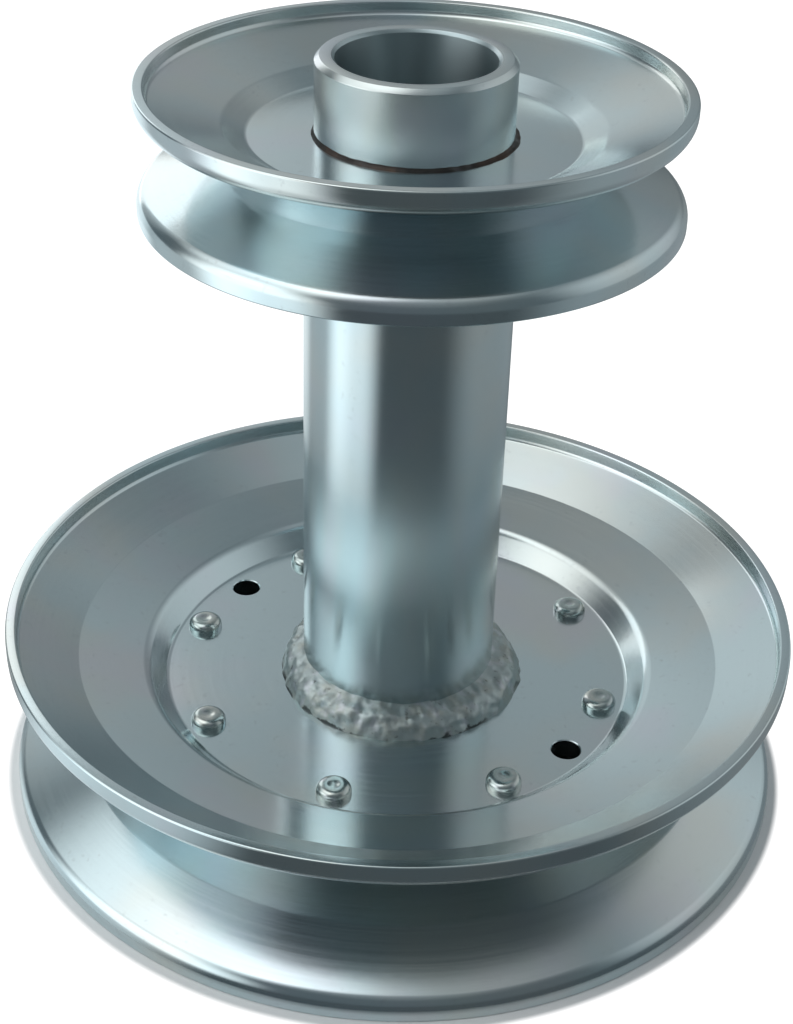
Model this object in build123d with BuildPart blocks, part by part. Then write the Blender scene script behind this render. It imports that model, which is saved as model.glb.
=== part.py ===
from build123d import *
import os
from math import pi, radians, tan

# Stacked drive pulley: two pressed V-belt pulleys on one turned hub tube.
# Millimetres and degrees. Z is the shaft axis, z = 0 is the lower rim edge it stands on.

# Sheet steel of all four pressed halves
sheet_thickness = 1.9
bend_radius = 0.8
crest_radius = 1.6
edge_round = 0.35

# Hub tube, bored for the crankshaft, turned down to a collar at its top
hub_diameter = 34.925
collar_diameter = 31.75
bore_diameter = 25.4
collar_stand = 12.6
hub_foot_stand = 4.0
hub_chamfer = 0.8
bore_chamfer = 0.5
seat_clearance = 0.05

# Keyway, cut from the lower end of the bore
key_width = 6.35
key_depth = 2.8
key_length = 60.0

# Lower pulley, the wide one
lower_diameter = 141.6
lower_root_radius = 47.1
lower_joggle_run = 3.7
lower_root_gap = 7.8
lower_seat_radius = 59.0
lower_seat_angle = 14.5
lower_flare_angle = 25.5
lower_lip_height = 4.0

# Upper pulley, the narrow one
upper_diameter = 87.8
upper_root_radius = 31.1
upper_joggle_run = 4.0
upper_root_gap = 4.6
upper_flare_angle = 19.0
upper_lip_height = 3.5
pulley_spacing = 103.9

# Rivets that clamp the two halves of the lower pulley
rivet_count = 8
rivet_edge_distance = 5.1
rivet_shank_diameter = 4.8
rivet_head_diameter = 6.2
rivet_head_height = 1.9
rivet_head_round = 1.4
rivet_dimple_radius = 1.1
rivet_dimple_depth = 0.3
rivet_clearance = 0.05

# Two plain holes on the rivet circle, midway between rivets
pin_hole_count = 2
pin_hole_diameter = 5.2

# Fillet weld between the hub tube and the lower pulley, laid as overlapping puddles
weld_leg = 5.0
weld_puddle_pitch = 2.5
weld_puddle_radius = 3.0

# Braze fillet where the collar leaves the upper pulley
braze_leg = 0.9
braze_hollow_radius = 1.4


def rise(start_radius, end_radius, angle):
    """Height that a cone of this angle climbs between two radii."""
    return (end_radius - start_radius) * tan(radians(angle))


# Levels and radii that follow from the sizes above
lower_rim_radius = lower_diameter / 2
lower_web_radius = lower_root_radius - lower_joggle_run
upper_rim_radius = upper_diameter / 2
upper_web_radius = upper_root_radius - upper_joggle_run
rivet_circle_radius = lower_web_radius - rivet_edge_distance
lower_seat_end = lower_root_gap / 2 + rise(lower_root_radius, lower_seat_radius, lower_seat_angle)
lower_flare_end = lower_seat_end + rise(lower_seat_radius, lower_rim_radius, lower_flare_angle)
upper_flare_end = upper_root_gap / 2 + rise(upper_root_radius, upper_rim_radius, upper_flare_angle)
lower_mid = lower_flare_end + lower_lip_height
upper_mid = lower_mid + pulley_spacing
hub_radius = hub_diameter / 2
collar_radius = collar_diameter / 2
bore_radius = bore_diameter / 2
lower_web_top = lower_mid + sheet_thickness
lower_web_underside = lower_mid - sheet_thickness
upper_web_top = upper_mid + sheet_thickness
shoulder_level = upper_mid - sheet_thickness
hub_foot = lower_web_underside - hub_foot_stand
collar_top = upper_web_top + collar_stand
rivet_phase = 180 / rivet_count


def pressed_half(middle, hole_radius, belt_face):
    """Upper half of a pulley: web, joggle, belt face and a rim lip, one sheet thick.

    belt_face lists the corners (radius, height above the web face) from the joggle to the lip.
    """
    corners = [(hole_radius, 0)] + belt_face
    outer_bend = bend_radius + sheet_thickness
    bends = [outer_bend, crest_radius] + [outer_bend] * (len(belt_face) - 3)
    with BuildPart() as half:
        with BuildSketch(Plane.XZ) as section:
            with BuildLine() as inner_face:
                FilletPolyline(*[(r, middle + h) for r, h in corners], radius=bends)
                offset(amount=sheet_thickness, side=Side.LEFT)
            make_face()
        revolve(axis=Axis.Z)
        lip_edges = half.edges().filter_by(GeomType.CIRCLE).group_by(Axis.Z)[-1]
        fillet(lip_edges, radius=edge_round)
    return half.part


def other_half(half, middle):
    """The same pressing turned over, meeting the first half web to web."""
    with BuildPart() as turned:
        mirror(half, about=Plane.XY.offset(middle))
    return turned.part


def drilled(half, middle):
    """A lower pulley half with its rivet holes and the two plain holes."""
    with BuildPart() as holed:
        add(half)
        with Locations(Plane.XY.offset(middle)):
            with PolarLocations(rivet_circle_radius, rivet_count, start_angle=rivet_phase):
                Hole(radius=rivet_shank_diameter / 2 + rivet_clearance)
            with PolarLocations(rivet_circle_radius, pin_hole_count):
                Hole(radius=pin_hole_diameter / 2)
    return holed.part


# Lower pulley
lower_belt_face = [
    (lower_web_radius, 0),
    (lower_root_radius, lower_root_gap / 2),
    (lower_seat_radius, lower_seat_end),
    (lower_rim_radius, lower_flare_end),
    (lower_rim_radius, lower_flare_end + lower_lip_height),
]
lower_half = pressed_half(lower_mid, hub_radius + seat_clearance, lower_belt_face)
with BuildPart() as lower_pulley_top_half:
    add(drilled(lower_half, lower_mid))
with BuildPart() as lower_pulley_bottom_half:
    add(drilled(other_half(lower_half, lower_mid), lower_mid))

# Upper pulley
upper_belt_face = [
    (upper_web_radius, 0),
    (upper_root_radius, upper_root_gap / 2),
    (upper_rim_radius, upper_flare_end),
    (upper_rim_radius, upper_flare_end + upper_lip_height),
]
upper_half = pressed_half(upper_mid, collar_radius + seat_clearance, upper_belt_face)
with BuildPart() as upper_pulley_top_half:
    add(upper_half)
with BuildPart() as upper_pulley_bottom_half:
    add(other_half(upper_half, upper_mid))

# Hub tube: the upper pulley sits on its shoulder, the lower pulley is welded around its foot
with BuildPart() as hub_tube:
    with BuildSketch(Plane.XY.offset(hub_foot)) as tube_section:
        Circle(hub_radius)
    extrude(amount=shoulder_level - hub_foot)
    with BuildSketch(Plane.XY.offset(shoulder_level)) as collar_section:
        Circle(collar_radius)
    extrude(amount=collar_top - shoulder_level)
    with Locations((0, 0, collar_top)):
        Hole(radius=bore_radius)
    ends = hub_tube.edges().filter_by(GeomType.CIRCLE).group_by(Axis.Z)
    chamfer(ends[0].sort_by(SortBy.RADIUS)[-1:] + ends[-1].sort_by(SortBy.RADIUS)[-1:], length=hub_chamfer)
    bore_wall = hub_tube.faces().filter_by(GeomType.CYLINDER).sort_by(lambda face: face.radius)[0]
    mouths = bore_wall.edges().filter_by(GeomType.CIRCLE)
    chamfer(mouths, length=bore_chamfer)
    with BuildSketch(Plane.XY.offset(hub_foot)) as key_slot:
        with Locations((0, bore_radius)):
            Rectangle(key_width, 2 * key_depth)
    extrude(amount=key_length, mode=Mode.SUBTRACT)

# One rivet, a shank with a rounded button head at each end, then the whole ring of them
rivet_top = lower_web_top + rivet_head_height
dimple_ball = (rivet_dimple_radius**2 + rivet_dimple_depth**2) / (2 * rivet_dimple_depth)
with BuildPart() as one_rivet:
    with BuildSketch(Plane.XY.offset(lower_web_underside)) as shank_section:
        Circle(rivet_shank_diameter / 2)
    extrude(amount=2 * sheet_thickness)
    with BuildSketch(Plane.XY.offset(lower_web_top)) as head_section:
        Circle(rivet_head_diameter / 2)
    extrude(amount=rivet_head_height)
    with BuildSketch(Plane.XY.offset(lower_web_underside)) as tail_section:
        Circle(rivet_head_diameter / 2)
    extrude(amount=-rivet_head_height)
    rims = one_rivet.edges().filter_by(GeomType.CIRCLE).group_by(Axis.Z)
    fillet(rims[0] + rims[-1], radius=rivet_head_round)
    with Locations((0, 0, rivet_top - rivet_dimple_depth + dimple_ball)):
        Sphere(dimple_ball, mode=Mode.SUBTRACT)
with BuildPart() as lower_pulley_rivets:
    with PolarLocations(rivet_circle_radius, rivet_count, start_angle=rivet_phase):
        add(one_rivet.part)

# Weld bead: a ring of overlapping puddles in the corner between tube and web
puddle_offset = weld_leg - weld_puddle_radius
puddle_circle = hub_radius + puddle_offset
puddle_count = round(2 * pi * puddle_circle / weld_puddle_pitch)
with BuildPart() as hub_weld_bead:
    with BuildSketch(Plane.XZ) as bead_section:
        with BuildLine() as bead_outline:
            root = (hub_radius, lower_web_top)
            toe = (hub_radius + weld_leg, lower_web_top)
            crown = (hub_radius, lower_web_top + weld_leg)
            Line(root, toe)
            Line(toe, crown)
            Line(crown, root)
        make_face()
    revolve(axis=Axis.Z)
    with Locations((0, 0, lower_web_top + puddle_offset)):
        with PolarLocations(puddle_circle, puddle_count):
            Sphere(weld_puddle_radius)
    with Locations((0, 0, lower_web_top)):
        Cylinder(hub_radius, 4 * weld_leg, mode=Mode.SUBTRACT)
        Cylinder(
            hub_radius + 2 * weld_leg,
            2 * weld_leg,
            align=(Align.CENTER, Align.CENTER, Align.MAX),
            mode=Mode.SUBTRACT,
        )

# Braze fillet around the collar, hollow-faced
with BuildPart() as collar_braze_ring:
    with BuildSketch(Plane.XZ) as braze_section:
        with BuildLine() as braze_outline:
            heel = (collar_radius, upper_web_top)
            foot = (collar_radius + braze_leg, upper_web_top)
            tip = (collar_radius, upper_web_top + braze_leg)
            Line(heel, foot)
            RadiusArc(foot, tip, -braze_hollow_radius)
            Line(tip, heel)
        make_face()
    revolve(axis=Axis.Z)

pieces = {
    "hub_tube": hub_tube,
    "upper_pulley_top_half": upper_pulley_top_half,
    "upper_pulley_bottom_half": upper_pulley_bottom_half,
    "lower_pulley_top_half": lower_pulley_top_half,
    "lower_pulley_bottom_half": lower_pulley_bottom_half,
    "lower_pulley_rivets": lower_pulley_rivets,
    "hub_weld_bead": hub_weld_bead,
    "collar_braze_ring": collar_braze_ring,
}
os.makedirs("parts", exist_ok=True)
for name, piece in pieces.items():
    piece.part.label = name
    export_step(piece.part, f"parts/{name}.step")
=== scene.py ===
from math import cos, pi, radians, sin, tan

import bmesh
import bpy
from mathutils import Matrix, Vector, noise


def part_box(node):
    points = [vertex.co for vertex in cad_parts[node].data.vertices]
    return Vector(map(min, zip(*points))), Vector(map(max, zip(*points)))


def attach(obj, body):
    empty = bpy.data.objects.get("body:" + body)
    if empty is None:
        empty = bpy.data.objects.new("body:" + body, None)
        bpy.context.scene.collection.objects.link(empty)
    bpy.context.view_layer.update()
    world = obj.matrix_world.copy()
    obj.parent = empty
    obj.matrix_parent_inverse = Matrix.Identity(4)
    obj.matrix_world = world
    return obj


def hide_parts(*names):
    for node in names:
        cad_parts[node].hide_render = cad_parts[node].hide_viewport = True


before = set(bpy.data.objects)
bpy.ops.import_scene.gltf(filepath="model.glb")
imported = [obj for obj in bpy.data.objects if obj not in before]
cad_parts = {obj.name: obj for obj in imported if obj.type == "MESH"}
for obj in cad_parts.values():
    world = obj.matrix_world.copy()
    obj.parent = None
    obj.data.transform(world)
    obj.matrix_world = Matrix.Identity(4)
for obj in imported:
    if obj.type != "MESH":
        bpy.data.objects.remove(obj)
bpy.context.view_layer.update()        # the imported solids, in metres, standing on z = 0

mm = 0.001
scene = bpy.context.scene

# where the photo was taken from
photoView = {
    "azimuth": 37.8,             # degrees round from -Y
    "distance": 278.77 * mm,     # from the shaft axis, along the floor
    "height": 227.25 * mm,
    "pitch": 32.147,             # degrees down
    "roll": 1.873,
    "focalPixels": 1855.1,
    "frameHeight": 1024,         # pixels, the photo's longer side
    "axisOffset": 5.54,          # pixels from the frame's middle to the lens axis
    "sensor": 36.0,
    "clip": (0.01, 60.0),
}
photoTurn = Matrix.Rotation(radians(photoView["azimuth"]), 3, "Z")


def photoAim(azimuth, elevation):
    # a direction given in the photo's terms: 0 towards the camera, 90 right, 180 away, 270 left
    a, e = radians(azimuth), radians(elevation)
    return photoTurn @ Vector((sin(a) * cos(e), -cos(a) * cos(e), sin(e)))


# mesh helpers
touching = 1e-7          # metres: vertices this close become one
levelSlack = 1e-6        # metres: vertices this close to a level lie on it
edgeSegments = 3         # faces across a rounded edge


def addObject(name, data):
    obj = bpy.data.objects.new(name, data)
    scene.collection.objects.link(obj)
    return obj


def meshFrom(bm, name):
    mesh = bpy.data.meshes.new(name)
    bm.to_mesh(mesh)
    bm.free()
    return mesh


def addCopy(bm, small, place):
    # moves a small mesh to its place on the web and adds it to the larger one
    bmesh.ops.translate(small, verts=small.verts[:], vec=(*place, 0))
    piece = meshFrom(small, "oneCopy")
    bm.from_mesh(piece)
    bpy.data.meshes.remove(piece)


def applyModifiers(obj):
    bpy.context.view_layer.update()
    depsgraph = bpy.context.evaluated_depsgraph_get()
    baked = bpy.data.meshes.new_from_object(obj.evaluated_get(depsgraph))
    obj.modifiers.clear()
    obj.data = baked


def smoothShade(obj, sharpAngle):
    obj.data.polygons.foreach_set("use_smooth", [True] * len(obj.data.polygons))
    obj.data.set_sharp_from_angle(angle=radians(sharpAngle))


def evenNormals(obj):
    even = obj.modifiers.new("evenNormals", "WEIGHTED_NORMAL")
    even.keep_sharp = True
    applyModifiers(obj)


def softenEdges(obj, width, angle):
    soft = obj.modifiers.new("edgeRound", "BEVEL")
    soft.width = width
    soft.segments = edgeSegments
    soft.limit_method = "ANGLE"
    soft.angle_limit = radians(angle)
    evenNormals(obj)


def wirePath(bm, points, closed=False):
    verts = [bm.verts.new((r, 0, z)) for r, z in points]
    pairs = list(zip(verts, verts[1:]))
    if closed:
        pairs.append((verts[-1], verts[0]))
    for a, b in pairs:
        bm.edges.new((a, b))
    return verts


def roundCorner(bm, vert, radius, segments):
    one, two = [e.other_vert(vert).co - vert.co for e in vert.link_edges]
    reach = radius * tan((pi - one.angle(two)) / 2)      # from corner to tangent point
    bmesh.ops.bevel(bm, geom=[vert], offset=reach, offset_type="OFFSET", segments=segments,
                    profile=0.5, affect="VERTICES", material=-1)


def cutFlats(bm, longest, cuts):
    flats = [e for e in bm.edges if e.calc_length() > longest]
    bmesh.ops.subdivide_edges(bm, edges=flats, cuts=cuts)


def spinAround(bm, segments):
    bmesh.ops.spin(bm, geom=bm.verts[:] + bm.edges[:], cent=(0, 0, 0), axis=(0, 0, 1), dvec=(0, 0, 0),
                   angle=2 * pi, steps=segments, use_merge=True, use_duplicate=False)
    bmesh.ops.remove_doubles(bm, verts=bm.verts[:], dist=touching)
    bmesh.ops.recalc_face_normals(bm, faces=bm.faces[:])


def cutAway(obj, cutter):
    cut = obj.modifiers.new("cut", "BOOLEAN")
    cut.operation = "DIFFERENCE"
    cut.solver = "EXACT"
    cut.object = cutter
    applyModifiers(obj)
    bpy.data.objects.remove(cutter)


def ringPlaces(radius, count, phase):
    angles = [radians(phase + 360 * k / count) for k in range(count)]
    return [(radius * cos(a), radius * sin(a)) for a in angles]


def seat(obj, node, material):
    obj.data.materials.clear()
    obj.data.materials.append(material)
    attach(obj, "root")
    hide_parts(node)
    print("made", obj.name, len(obj.data.polygons), "faces")


# node helpers for the materials

def nodeMaker(tree):
    tree.nodes.clear()

    def make(kind, inputs=None, **settings):
        node = tree.nodes.new(kind)
        for key, value in settings.items():
            setattr(node, key, value)
        for key, value in (inputs or {}).items():
            if isinstance(value, bpy.types.NodeSocket):
                tree.links.new(value, node.inputs[key])
            else:
                node.inputs[key].default_value = value
        return node
    return make


def maths(make, operation, first, second):
    return make("ShaderNodeMath", {0: first, 1: second}, operation=operation).outputs[0]


def noiseAt(make, coords, scale, detail, roughness):
    look = {"Vector": coords, "Scale": scale, "Detail": detail, "Roughness": roughness}
    return make("ShaderNodeTexNoise", look).outputs["Fac"]


def ramp(make, fac, low, high, toLow=0.0, toHigh=1.0):
    limits = {"From Min": low, "From Max": high, "To Min": toLow, "To Max": toHigh}
    node = make("ShaderNodeMapRange", {"Value": fac, **limits}, interpolation_type="SMOOTHSTEP")
    return node.outputs["Result"]


def tinted(make, mask, share, base, tint):
    amount = maths(make, "MULTIPLY", mask, share)
    return make("ShaderNodeMix", {0: amount, 6: base, 7: tint}, data_type="RGBA").outputs[2]


def axisRadius(make, coords):
    flat = make("ShaderNodeVectorMath", {0: coords, 1: (1, 1, 0)}, operation="MULTIPLY").outputs[0]
    return make("ShaderNodeVectorMath", {0: flat}, operation="LENGTH").outputs["Value"]


def turnedVector(make, coords, acrossScale, heightScale, aroundScale):
    # (radius, height, angle): patterns on it follow the shaft axis
    parts = make("ShaderNodeSeparateXYZ", {0: coords})
    angle = maths(make, "ARCTAN2", parts.outputs["Y"], parts.outputs["X"])
    across = maths(make, "MULTIPLY", axisRadius(make, coords), acrossScale)
    up = maths(make, "MULTIPLY", parts.outputs["Z"], heightScale)
    around = maths(make, "MULTIPLY", angle, aroundScale)
    return make("ShaderNodeCombineXYZ", {0: across, 1: up, 2: around}).outputs[0]


# zinc and the finishes made from it
zincPattern = {
    "clouds": (3.0, 0.55),               # noise detail and roughness, here and in the next four
    "lilac": (2.0, 0.5),
    "lines": (3.0, 0.6),
    "specks": (2.0, 0.5),
    "peel": (2.0, 0.5),
    "cloudCut": (0.42, 0.70),            # noise values where a tint starts and is full
    "lilacCut": (0.50, 0.72),
    "speckCut": (0.62, 0.76),
    "lineCut": (0.25, 0.75),
    "cloudRough": (0.3, 0.7, -0.02, 0.03),       # clouds polish or dull the plate a little
    "lilacFiner": 1.7,                   # times the scale of the clouds
    "lilacShare": 0.7,                   # times the share of the warm tint
    "lineDepth": 0.05 * mm,
    "peelDepth": 0.2 * mm,
    "stretchTurn": 0.25,                 # a quarter turn from the tangent
}
plateFinish = {
    "cool": (0.57, 0.675, 0.70, 1),
    "warm": (0.66, 0.65, 0.60, 1),
    "lilac": (0.62, 0.62, 0.69, 1),
    "warmShare": 0.6,
    "cloudScale": 26.0,
    "speck": (0.40, 0.43, 0.44, 1),
    "speckShare": 0.2,
    "speckScale": 900.0,
    "lineScales": (2400.0, 2400.0, 1.2),         # across, up and around
    "lineBump": 0.020,
    "peelScale": 420.0,
    "peelBump": 0.02,
    "roughLow": 0.15,
    "roughHigh": 0.20,
    "stretch": 0.60,                     # glints run across the turned lines
}
tubeFinish = dict(
    plateFinish,
    cool=(0.54, 0.64, 0.665, 1),
    lineScales=(1500.0, 1500.0, 3.0), lineBump=0.0, peelBump=0.004,
    roughLow=0.22, roughHigh=0.235, stretch=0.72,
    inside={                             # the bore is duller and darker
        "radius": 13.0 * mm, "fade": 0.4 * mm, "rough": 0.36,
        "colour": (0.40, 0.48, 0.50, 1), "share": 0.9,
    },
)
rivetFinish = dict(
    plateFinish,
    cool=(0.44, 0.51, 0.50, 1),
    cloudScale=260.0, lineBump=0.0, peelBump=0.04,
    roughLow=0.17, roughHigh=0.23, stretch=0.0,
)
weldFinish = dict(
    plateFinish,
    cool=(0.40, 0.46, 0.46, 1), warm=(0.40, 0.41, 0.37, 1), speck=(0.14, 0.14, 0.13, 1),
    speckShare=0.6, cloudScale=300.0, lineBump=0.0, peelScale=900.0, peelBump=0.15,
    roughLow=0.38, roughHigh=0.50, stretch=0.0,
    toe={                                # painted shade: a dark, ragged crevice line where the bead meets the web
        "level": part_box("hub_weld_bead")[0].z, "deep": 0.5 * mm,
        "colour": (0.05, 0.055, 0.055, 1), "share": 0.9,
        "ragged": (420.0, 3.0, 0.5), "raggedCut": (0.3, 0.7),    # noise scale, detail, roughness
        "patchy": (90.0, 1.0, 0.5), "patchyCut": (0.38, 0.55),
    },
)
brazeFinish = dict(
    plateFinish,
    cool=(0.05, 0.047, 0.045, 1), warm=(0.12, 0.075, 0.055, 1), lilac=(0.20, 0.20, 0.20, 1),
    speck=(0.03, 0.03, 0.03, 1), speckShare=0.7,
    cloudScale=120.0, lineBump=0.0, peelScale=800.0, peelBump=0.6,
    roughLow=0.4, roughHigh=0.6, stretch=0.0,
)


def paintedToeShade(make, colour, coords, toe):
    # painted shade: a dark, ragged line along the foot of a bead, standing for the shaded crevice
    level, deep = toe["level"], toe["deep"]
    height = make("ShaderNodeSeparateXYZ", {0: coords}).outputs["Z"]
    wander = ramp(make, noiseAt(make, coords, *toe["ragged"]), *toe["raggedCut"], -deep, deep)
    line = ramp(make, maths(make, "ADD", height, wander), level, level + deep, 1.0, 0.0)
    patches = ramp(make, noiseAt(make, coords, *toe["patchy"]), *toe["patchyCut"])
    return tinted(make, maths(make, "MULTIPLY", line, patches), toe["share"], colour, toe["colour"])


def zincPlate(name, finish):
    # cool metal with faint yellow and lilac clouds, fine turned lines and a soft orange peel
    pattern = zincPattern
    material = bpy.data.materials.new(name)
    material.use_nodes = True
    make = nodeMaker(material.node_tree)
    coords = make("ShaderNodeTexCoord").outputs["Object"]
    turned = turnedVector(make, coords, *finish["lineScales"])
    clouds = noiseAt(make, coords, finish["cloudScale"], *pattern["clouds"])
    lilac = noiseAt(make, coords, finish["cloudScale"] * pattern["lilacFiner"], *pattern["lilac"])
    lines = noiseAt(make, turned, 1.0, *pattern["lines"])
    specks = noiseAt(make, coords, finish["speckScale"], *pattern["specks"])
    peel = noiseAt(make, coords, finish["peelScale"], *pattern["peel"])

    warmMask = ramp(make, clouds, *pattern["cloudCut"])
    lilacMask = ramp(make, lilac, *pattern["lilacCut"])
    speckMask = ramp(make, specks, *pattern["speckCut"])
    lilacShare = finish["warmShare"] * pattern["lilacShare"]
    colour = tinted(make, warmMask, finish["warmShare"], finish["cool"], finish["warm"])
    colour = tinted(make, lilacMask, lilacShare, colour, finish["lilac"])
    colour = tinted(make, speckMask, finish["speckShare"], colour, finish["speck"])
    lineRough = ramp(make, lines, *pattern["lineCut"], finish["roughLow"], finish["roughHigh"])
    rough = maths(make, "ADD", lineRough, ramp(make, clouds, *pattern["cloudRough"]))
    if "inside" in finish:
        inside = finish["inside"]
        wall = inside["radius"]
        inner = ramp(make, axisRadius(make, coords), wall, wall + inside["fade"], 1.0, 0.0)
        rough = make("ShaderNodeMix", {0: inner, 2: rough, 3: inside["rough"]}).outputs[0]
        colour = tinted(make, inner, inside["share"], colour, inside["colour"])
    # painted shade along the bead's toe
    if "toe" in finish:
        colour = paintedToeShade(make, colour, coords, finish["toe"])

    lineBump = make("ShaderNodeBump", {
        "Strength": finish["lineBump"], "Distance": pattern["lineDepth"], "Height": lines,
    })
    peelBump = make("ShaderNodeBump", {
        "Strength": finish["peelBump"], "Distance": pattern["peelDepth"], "Height": peel,
        "Normal": lineBump.outputs["Normal"],
    })
    around = make("ShaderNodeVectorMath", {0: (0, 0, 1), 1: coords}, operation="CROSS_PRODUCT").outputs[0]
    shader = make("ShaderNodeBsdfPrincipled", {
        "Base Color": colour, "Metallic": 1.0, "Roughness": rough,
        "Normal": peelBump.outputs["Normal"], "Tangent": around,
        "Anisotropic": finish["stretch"], "Anisotropic Rotation": pattern["stretchTurn"],
    })
    make("ShaderNodeOutputMaterial", {"Surface": shader.outputs[0]})
    return material


zincPlateMaterial = zincPlate("zincPlate", plateFinish)
zincTubeMaterial = zincPlate("zincTube", tubeFinish)
zincRivetMaterial = zincPlate("zincRivet", rivetFinish)
weldMaterial = zincPlate("weldMetal", weldFinish)
brazeMaterial = zincPlate("brazeMetal", brazeFinish)
print("materials ready")

# sizes of the hub tube and the rivets, which the holes in the pressed halves follow
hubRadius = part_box("hub_tube")[1].x
hub = {
    "collar": 15.875 * mm,
    "bore": 12.7 * mm,
    "endChamfer": 0.8 * mm,
    "mouthChamfer": 0.5 * mm,
    "keyWide": 6.35 * mm,
    "keyDeep": 2.8 * mm,
    "keyLong": 60.0 * mm,
    "edgeRound": 0.2 * mm,
    "edgeAngle": 30,             # degrees: sharper edges are rounded
    "sharpAngle": 32,
    "segments": 192,
}
rivets = {
    "circle": 38.3 * mm,
    "count": 8,
    "phase": 22.5,
    "shank": 2.4 * mm,           # radius, as are head and dimple
    "head": 3.1 * mm,
    "tall": 1.9 * mm,
    "round": 1.4 * mm,
    "dimple": 1.1 * mm,
    "dimpleDeep": 0.3 * mm,
    "dimpleRound": 2.0 * mm,
    "fit": 0.05 * mm,
    "lean": 0.05,
    "leanFrom": 0.1 * mm,        # above the web
    "leanStep": 3.1,             # along the noise, from rivet to rivet
    "leanRows": (0.5, 7.5),      # rows of the noise for x and y
    "roundSegments": 8,
    "dimpleSegments": 5,
    "segments": 48,
    "sharpAngle": 40,
}

# pressed halves, all of one gauge with one set of bends
sheet = {
    "gauge": 1.9 * mm,
    "outerBend": 2.7 * mm,
    "crestBend": 1.6 * mm,
    "edgeRound": 0.35 * mm,
    "fit": 0.05 * mm,            # from the hub
    "bendSegments": 10,
    "flatLength": 3 * mm,        # longer stretches of the section are cut up
    "flatCuts": 3,
    "lipAngle": 60,              # degrees: the lip's own edges are sharper than this
    "sharpAngle": 35,
}
drill = {
    "pinCount": 2,
    "pinRadius": 2.6 * mm,
    "soft": 0.15 * mm,           # countersink at the dish face
    "above": 5 * mm,             # how far a rod stands out of the dish face
    "below": 10 * mm,
    "segments": 64,
}
lowerShape = {
    "holeRadius": hubRadius + sheet["fit"],
    "webRadius": 43.4 * mm,
    "rootRadius": 47.1 * mm,
    "rootGap": 7.8 * mm,
    "flares": [(59.0 * mm, 14.5), (None, 25.5)],         # end radius (none: the rim) and degrees
    "holes": [
        (ringPlaces(rivets["circle"], drill["pinCount"], 0), drill["pinRadius"]),
        (ringPlaces(rivets["circle"], rivets["count"], rivets["phase"]), rivets["shank"] + rivets["fit"]),
    ],
    "segments": 256,
}
upperShape = {
    "holeRadius": hub["collar"] + sheet["fit"],
    "webRadius": 27.1 * mm,
    "rootRadius": 31.1 * mm,
    "rootGap": 4.6 * mm,
    "flares": [(None, 19.0)],
    "holes": [],
    "segments": 224,
}


def halfPath(shape, rimRadius, height):
    # radius and height above the web face, from the hub's hole out to the lip
    path = [(shape["holeRadius"], 0), (shape["webRadius"], 0), (shape["rootRadius"], shape["rootGap"] / 2)]
    for end, angle in shape["flares"]:
        startRadius, startHeight = path[-1]
        endRadius = end or rimRadius
        path.append((endRadius, startHeight + (endRadius - startRadius) * tan(radians(angle))))
    path.append((rimRadius, height))
    return path


def roundLip(obj, level):
    bm = bmesh.new()
    bm.from_mesh(obj.data)
    atLip = [e for e in bm.edges if all(abs(v.co.z - level) < levelSlack for v in e.verts)]
    lipEdges = [e for e in atLip if e.calc_face_angle(0) > radians(sheet["lipAngle"])]
    bmesh.ops.bevel(bm, geom=lipEdges, offset=sheet["edgeRound"], offset_type="OFFSET",
                    segments=edgeSegments, profile=0.5, affect="EDGES", material=-1)
    bm.to_mesh(obj.data)
    bm.free()


def drillRods(places, radius, face, sign):
    # each rod is a little wider at the dish face, which takes the edge off the hole
    soft = drill["soft"]
    top = face + sign * drill["above"]
    bottom = face - sign * drill["below"]
    bm = bmesh.new()
    for place in places:
        rod = bmesh.new()
        wirePath(rod, [(0, top), (radius + 2 * soft, top), (radius + 2 * soft, face + sign * soft),
                       (radius, face - sign * soft), (radius, bottom), (0, bottom)])
        spinAround(rod, drill["segments"])
        addCopy(bm, rod, place)
    return addObject("drillRods", meshFrom(bm, "drillRods"))


def pressedHalf(name, node, shape, upwards):
    low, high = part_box(node)
    middle, lip, sign = (low.z, high.z, 1) if upwards else (high.z, low.z, -1)
    path = halfPath(shape, high.x, high.z - low.z)
    bm = bmesh.new()
    verts = wirePath(bm, [(r, middle + sign * h) for r, h in path])
    bends = [sheet["outerBend"], sheet["crestBend"]] + [sheet["outerBend"]] * len(shape["flares"])
    for vert, radius in zip(verts[1:-1], bends):
        roundCorner(bm, vert, radius, sheet["bendSegments"])
    cutFlats(bm, sheet["flatLength"], sheet["flatCuts"])
    spinAround(bm, shape["segments"])
    web = min(bm.faces, key=lambda f: f.calc_center_median().xy.length)
    if web.normal.z * sign > 0:        # the belt face looks at the other half
        bmesh.ops.reverse_faces(bm, faces=bm.faces[:])
    obj = addObject(name, meshFrom(bm, name))
    wall = obj.modifiers.new("gauge", "SOLIDIFY")
    wall.thickness = sheet["gauge"]
    wall.offset = -1
    wall.use_even_offset = True
    applyModifiers(obj)
    roundLip(obj, lip)
    for places, radius in shape["holes"]:
        cutAway(obj, drillRods(places, radius, middle + sign * sheet["gauge"], sign))
    smoothShade(obj, sheet["sharpAngle"])
    evenNormals(obj)
    seat(obj, node, zincPlateMaterial)


pressedHalf("lowerPulleyTop", "lower_pulley_top_half", lowerShape, True)
pressedHalf("lowerPulleyBottom", "lower_pulley_bottom_half", lowerShape, False)
pressedHalf("upperPulleyTop", "upper_pulley_top_half", upperShape, True)
pressedHalf("upperPulleyBottom", "upper_pulley_bottom_half", upperShape, False)


# hub tube

def keyCutter(foot):
    bm = bmesh.new()
    bmesh.ops.create_cube(bm, size=1)
    size = (hub["keyWide"], 2 * hub["keyDeep"], 2 * hub["keyLong"])
    bmesh.ops.scale(bm, verts=bm.verts[:], vec=size)
    bmesh.ops.translate(bm, verts=bm.verts[:], vec=(0, hub["bore"], foot))
    return addObject("keyCutter", meshFrom(bm, "keyCutter"))


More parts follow.
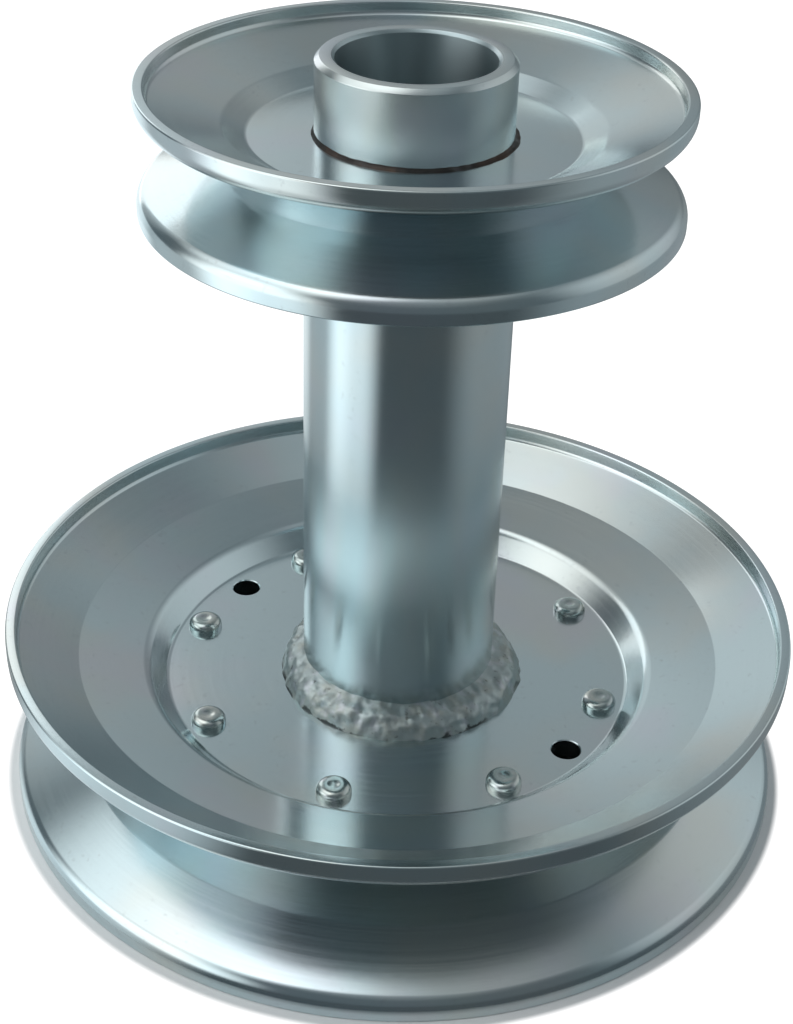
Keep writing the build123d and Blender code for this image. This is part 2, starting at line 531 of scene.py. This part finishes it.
def hubTube():
    low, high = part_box("hub_tube")
    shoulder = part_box("upper_pulley_bottom_half")[1].z - sheet["gauge"]
    collar, bore = hub["collar"], hub["bore"]
    end, mouth = hub["endChamfer"], hub["mouthChamfer"]
    bm = bmesh.new()
    wirePath(bm, [
        (bore, low.z + mouth), (bore + mouth, low.z), (hubRadius - end, low.z), (hubRadius, low.z + end),
        (hubRadius, shoulder), (collar, shoulder), (collar, high.z - end), (collar - end, high.z),
        (bore + mouth, high.z), (bore, high.z - mouth)], closed=True)
    spinAround(bm, hub["segments"])
    obj = addObject("hubTube", meshFrom(bm, "hubTube"))
    cutAway(obj, keyCutter(low.z))
    softenEdges(obj, hub["edgeRound"], hub["edgeAngle"])
    smoothShade(obj, hub["sharpAngle"])
    seat(obj, "hub_tube", zincTubeMaterial)


hubTube()


# rivets

def oneRivet(low, high, lean):
    head, shank = rivets["head"], rivets["shank"]
    topWeb = high - rivets["tall"]
    lowWeb = low + rivets["tall"]
    bm = bmesh.new()
    verts = wirePath(bm, [
        (0, high - rivets["dimpleDeep"]), (rivets["dimple"], high), (head, high), (head, topWeb),
        (shank, topWeb), (shank, lowWeb), (head, lowWeb), (head, low), (0, low)])
    roundCorner(bm, verts[1], rivets["dimpleRound"], rivets["dimpleSegments"])
    roundCorner(bm, verts[2], rivets["round"], rivets["roundSegments"])
    roundCorner(bm, verts[7], rivets["round"], rivets["roundSegments"])
    spinAround(bm, rivets["segments"])
    for v in bm.verts:
        if v.co.z > topWeb + rivets["leanFrom"]:       # set heads lean a little
            v.co.z += (v.co.x * lean.x + v.co.y * lean.y) * (v.co.z - topWeb) / rivets["tall"]
    return bm


def rivetRing():
    low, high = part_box("lower_pulley_rivets")
    rowX, rowY = rivets["leanRows"]
    bm = bmesh.new()
    for k, place in enumerate(ringPlaces(rivets["circle"], rivets["count"], rivets["phase"])):
        along = k * rivets["leanStep"]
        lean = Vector((noise.noise((along, rowX, 0)), noise.noise((along, rowY, 0)), 0)) * rivets["lean"]
        addCopy(bm, oneRivet(low.z, high.z, lean), place)
    obj = addObject("lowerPulleyRivets", meshFrom(bm, "lowerPulleyRivets"))
    smoothShade(obj, rivets["sharpAngle"])
    seat(obj, "lower_pulley_rivets", zincRivetMaterial)


rivetRing()

# weld bead and braze ring: a rounded fillet, pushed about by three sizes of noise
weld = {
    "leg": 4.7 * mm,
    "bulge": 0.70,               # share of the leg at which the section's outer corner stands
    "slow": 0.35 * mm,
    "lump": 0.28 * mm,
    "lumpWide": 2.0 * mm,
    "grain": 0.05 * mm,
    "grainWide": 0.9 * mm,
    "heavySide": 55,             # degrees, in the photo's terms
    "heavier": 0.20,
    "arc": 12,
    "segments": 600,
}
braze = {
    "leg": 0.62 * mm,
    "bulge": 0.40,
    "slow": 0.12 * mm,
    "lump": 0.10 * mm,
    "lumpWide": 1.5 * mm,
    "grain": 0.03 * mm,
    "grainWide": 0.4 * mm,
    "heavySide": 60,
    "heavier": 0.40,
    "arc": 8,
    "segments": 360,
}
beadForm = {
    "cornerRound": 0.7,          # times the leg
    "flatShare": 0.2,            # section edges longer than this share of the leg are cut up
    "flatCuts": 8,
    "slowAround": 5,
    "slowUp": 0.8,
    "skin": 0.02,                # share of the leg that still counts as touching web or tube
    "ease": 2.5,                 # how soon the push is full, away from web and tube
    "sag": 0.6,                  # the heavy side is lower by this share of what it is wider
    "sharpAngle": 60,
}


def beadRing(name, node, material, innerRadius, bead):
    form = beadForm
    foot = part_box(node)[0].z
    leg = bead["leg"]
    corner = leg * bead["bulge"]
    heavy = photoAim(bead["heavySide"], 0).xy
    bm = bmesh.new()
    verts = wirePath(bm, [
        (innerRadius, foot), (innerRadius + leg, foot),
        (innerRadius + corner, foot + corner), (innerRadius, foot + leg)], closed=True)
    roundCorner(bm, verts[2], leg * form["cornerRound"], bead["arc"])
    cutFlats(bm, leg * form["flatShare"], form["flatCuts"])
    spinAround(bm, bead["segments"])
    for v in bm.verts:
        around = v.co.xy.normalized()
        out = (v.co.xy.length - innerRadius) / leg
        up = (v.co.z - foot) / leg
        side = around.dot(heavy) * bead["heavier"]
        swell = (around.x * form["slowAround"], around.y * form["slowAround"], up * form["slowUp"])
        push = bead["slow"] * noise.noise(swell)
        push += bead["lump"] * noise.noise(v.co / bead["lumpWide"])
        if out > form["skin"] and up > form["skin"]:         # the open face, between toe and crown
            push += bead["grain"] * noise.noise(v.co / bead["grainWide"])
        outward = out * leg * (1 + side) + push * min(1, form["ease"] * out)
        upward = up * leg * (1 - form["sag"] * side) + push * min(1, form["ease"] * up)
        v.co = Vector((*(around * (innerRadius + max(0, outward))), foot + max(0, upward)))
    bmesh.ops.recalc_face_normals(bm, faces=bm.faces[:])
    obj = addObject(name, meshFrom(bm, name))
    smoothShade(obj, form["sharpAngle"])
    seat(obj, node, material)


beadRing("hubWeldBead", "hub_weld_bead", weldMaterial, hubRadius, weld)
beadRing("collarBrazeRing", "collar_braze_ring", brazeMaterial, hub["collar"], braze)

# floor, light and camera
studio = {
    "floorReach": 12.0,
    "floorColour": (0.93, 0.93, 0.93, 1),
    "floorLift": 0.87,                   # share of plain white that the camera sees
    "floorWhite": 1.27,
    "shade": 72 * mm,                    # no lift within this radius, under the part
    "shadeEdge": 1.02,
    "glowColour": (0.90, 0.97, 1.0),
    "glowReach": (90 * mm, 220 * mm),    # from the near level to the far one
    "glowLevels": (0.62, 1.15),
    "floorFill": (0.084, 0.102, 0.112),
    "skyColour": (0.97, 0.99, 0.99),
    "skyFill": (0.124, 0.150, 0.164),
    "cardAim": 60 * mm,                  # height on the shaft axis
}
floorPatches = [        # azimuth, full within, gone past, level
    (300, 8, 36, 1.08),
    (262, 15, 45, 0.45),
    (208, 6, 30, 0.95),
    (105, 25, 70, 0.24),
]
skyPanels = [           # azimuth, elevation, full within, gone past, level
    (292, 8, 14, 40, 1.6),       # broad and low on the left
    (275, 55, 10, 38, 1.0),      # soft box high on the left
    (243, 50, 4, 22, 0.30),      # a small one beyond it
    (286, 72, 6, 27, 0.60),      # and one above it
    (207, 17, 8, 32, 0.36),      # low, behind the part
    (196, 33, 8, 34, 0.24),
    (105, 14, 15, 50, 0.44),     # low fill on the right
    (118, 54, 12, 46, 0.09),
    (154, 25, 6, 28, 0.13),
    (0, 88, 4, 34, 0.24),        # a little from overhead
    (0, 64, 8, 34, 0.10),        # and from above the camera
]
nearCards = [           # right, away, up, wide, tall, level
    (-190 * mm, 290 * mm, 190 * mm, 130 * mm, 240 * mm, 0.85),   # whitens the left of the belt faces
]


def softPatch(make, direction, aim, inner, outer, level):
    # full inside the inner angle, gone past the outer one
    facing = make("ShaderNodeVectorMath", {0: direction, 1: aim}, operation="DOT_PRODUCT").outputs["Value"]
    return ramp(make, facing, cos(radians(outer)), cos(radians(inner)), 0.0, level)


def summed(make, parts):
    total = 0.0
    for part in parts:
        total = maths(make, "ADD", total, part)
    return total


def overFill(make, level, colour, fill):
    lit = make("ShaderNodeVectorMath", {0: colour, "Scale": level}, operation="SCALE").outputs[0]
    return make("ShaderNodeVectorMath", {0: lit, 1: fill}, operation="ADD").outputs[0]


def floorGlow(make, coords, radius):
    # what the metal mirrors: soft sectors of light, over an even fill
    unit = make("ShaderNodeVectorMath", {0: coords}, operation="NORMALIZE").outputs[0]
    sectors = [softPatch(make, unit, photoAim(azimuth, 0), inner, outer, level)
               for azimuth, inner, outer, level in floorPatches]
    farther = ramp(make, radius, *studio["glowReach"], *studio["glowLevels"])
    glow = maths(make, "MULTIPLY", summed(make, sectors), farther)
    return make("ShaderNodeEmission", {
        "Color": overFill(make, glow, studio["glowColour"], studio["floorFill"]),
    })


def paleFloor():
    bm = bmesh.new()
    bmesh.ops.create_grid(bm, x_segments=1, y_segments=1, size=studio["floorReach"])
    obj = addObject("floor", meshFrom(bm, "floor"))
    material = bpy.data.materials.new("paleFloor")
    material.use_nodes = True
    make = nodeMaker(material.node_tree)
    coords = make("ShaderNodeTexCoord").outputs["Object"]
    radius = make("ShaderNodeVectorMath", {0: coords}, operation="LENGTH").outputs["Value"]
    mirrored = floorGlow(make, coords, radius)
    matt = make("ShaderNodeBsdfDiffuse", {"Color": studio["floorColour"]})
    white = make("ShaderNodeEmission", {"Color": (1, 1, 1, 1), "Strength": studio["floorWhite"]})
    path = make("ShaderNodeLightPath")
    outside = ramp(make, radius, studio["shade"], studio["shade"] * studio["shadeEdge"])
    lift = maths(make, "MULTIPLY", path.outputs["Is Camera Ray"], studio["floorLift"])
    lift = maths(make, "MULTIPLY", lift, outside)
    seen = make("ShaderNodeMixShader", {0: lift, 1: matt.outputs[0], 2: white.outputs[0]})
    shown = maths(make, "MULTIPLY", path.outputs["Is Glossy Ray"], outside)
    both = make("ShaderNodeMixShader", {0: shown, 1: seen.outputs[0], 2: mirrored.outputs[0]})
    make("ShaderNodeOutputMaterial", {"Surface": both.outputs[0]})
    obj.data.materials.append(material)


def studioSky():
    world = bpy.data.worlds.new("studio")
    scene.world = world
    world.use_nodes = True
    make = nodeMaker(world.node_tree)
    direction = make("ShaderNodeTexCoord").outputs["Generated"]
    panels = [softPatch(make, direction, photoAim(azimuth, elevation), inner, outer, level)
              for azimuth, elevation, inner, outer, level in skyPanels]
    colour = overFill(make, summed(make, panels), studio["skyColour"], studio["skyFill"])
    back = make("ShaderNodeBackground", {"Color": colour})
    make("ShaderNodeOutputWorld", {"Surface": back.outputs[0]})


def cardLights():
    for right, away, up, wide, tall, level in nearCards:
        data = bpy.data.lights.new("nearCard", "AREA")
        data.shape = "RECTANGLE"
        data.size, data.size_y = wide, tall
        data.energy = level * pi * wide * tall
        obj = addObject("nearCard", data)
        place = photoTurn @ Vector((right, away, up))
        aim = Vector((0, 0, studio["cardAim"])) - place
        obj.matrix_world = Matrix.Translation(place) @ aim.to_track_quat("-Z", "Y").to_matrix().to_4x4()


def photoCamera():
    view = photoView
    pitch, roll = radians(view["pitch"]), radians(view["roll"])
    right, up = Vector((1, 0, 0)), Vector((0, sin(pitch), cos(pitch)))
    ahead = Vector((0, cos(pitch), -sin(pitch)))
    right, up = right * cos(roll) + up * sin(roll), up * cos(roll) - right * sin(roll)
    data = bpy.data.cameras.new("photoCamera")
    data.sensor_width = view["sensor"]
    data.lens = view["focalPixels"] * data.sensor_width / view["frameHeight"]
    data.shift_x = -view["axisOffset"] / view["frameHeight"]
    data.clip_start, data.clip_end = view["clip"]
    obj = addObject("photoCamera", data)
    axes = Matrix((photoTurn @ right, photoTurn @ up, photoTurn @ -ahead)).transposed()
    place = photoTurn @ Vector((0, -view["distance"], view["height"]))
    obj.matrix_world = Matrix.Translation(place) @ axes.to_4x4()
    scene.camera = obj


paleFloor()
studioSky()
cardLights()
photoCamera()
scene.view_settings.view_transform = "Standard"
print("stage ready")

bpy.context.view_layer.update()
